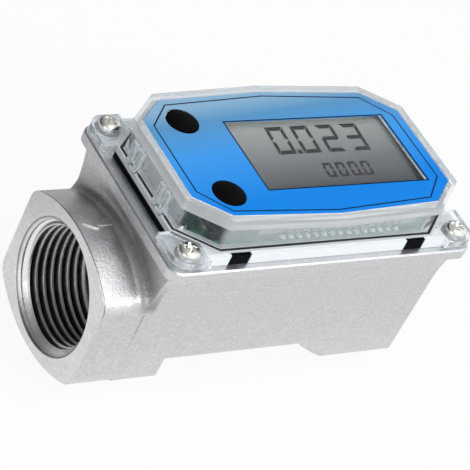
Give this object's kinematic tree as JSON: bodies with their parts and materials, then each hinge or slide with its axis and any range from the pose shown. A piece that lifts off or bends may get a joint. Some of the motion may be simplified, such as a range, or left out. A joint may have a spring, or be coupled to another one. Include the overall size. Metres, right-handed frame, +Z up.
{
  "type": "turbine flow meter",
  "caption": "In-line turbine flow meter: cast housing with threaded ports, vaned rotor in the bore, clear cover over a display, buttons and battery electronics.",
  "frame": {"origin": "on the surface that the meter rests on, under the middle of its bounding box", "axes": "+X along the bore from outlet to inlet, +Y across the meter away from the reader, +Z up"},
  "size_m": [0.102, 0.053, 0.0622],
  "materials": {
    "cast_metal": "cast, tumbled, machined at the ports",
    "white_plastic": "moulded acetal",
    "rotor_plastic": "moulded, satin",
    "bronze": "sintered bronze",
    "spring_steel": "ground",
    "dark_metal": "dull",
    "clear_plastic": "clear moulded plastic",
    "black_rubber": "matt",
    "bright_screw": "bright plated",
    "blue_film": "printed film",
    "lcd": "grey display",
    "grey_plastic": "moulded",
    "pin_metal": "tinned",
    "green_board": "lacquered board",
    "black_plastic": "moulded",
    "bright_steel": "nickel plated",
    "copper_wire": "enamelled copper wire"
  },
  "bodies": {
    "root": {"housing": "cast_metal", "outlet_support": "white_plastic", "inlet_support": "white_plastic", "outlet_bush": "bronze", "inlet_bush": "bronze", "outlet_retaining_ring": "spring_steel", "inlet_retaining_ring": "spring_steel", "display_cover": "clear_plastic", "cover_gasket": "black_rubber", "cover_screws": "bright_screw", "face_label": "blue_film", "lcd_glass": "lcd", "lcd_carrier": "grey_plastic", "lcd_pins": "pin_metal", "circuit_board": "green_board", "board_screws": "bright_screw", "tactile_switches": "black_plastic", "microcontroller": "black_plastic", "crystal": "pin_metal", "capacitor": "black_plastic", "coin_cell": "bright_steel", "cell_holder": "black_plastic", "cell_clip": "pin_metal", "coil_bobbin": "black_plastic", "coil_winding": "copper_wire", "pole_piece": "dark_metal", "coil_leads": "pin_metal"},
    "rotor": {"turbine_rotor": "rotor_plastic", "rotor_shaft": "spring_steel", "rotor_magnets": "dark_metal"},
    "calibrate_key": {"calibrate_button": "black_rubber"},
    "display_key": {"display_button": "black_rubber"}
  },
  "joints": [
    {"name": "rotor_spin", "type": "hinge", "parent": "root", "child": "rotor", "pos_m": [-0.0011, 0, 0.02], "axis": [1, 0, 0], "continuous": true},
    {"name": "calibrate_press", "type": "slide", "parent": "root", "child": "calibrate_key", "axis": [0, 0, -1], "range_m": [0, 0.0008], "stiffness_N_per_m": 1200},
    {"name": "display_press", "type": "slide", "parent": "root", "child": "display_key", "axis": [0, 0, -1], "range_m": [0, 0.0008], "stiffness_N_per_m": 1200}
  ]
}
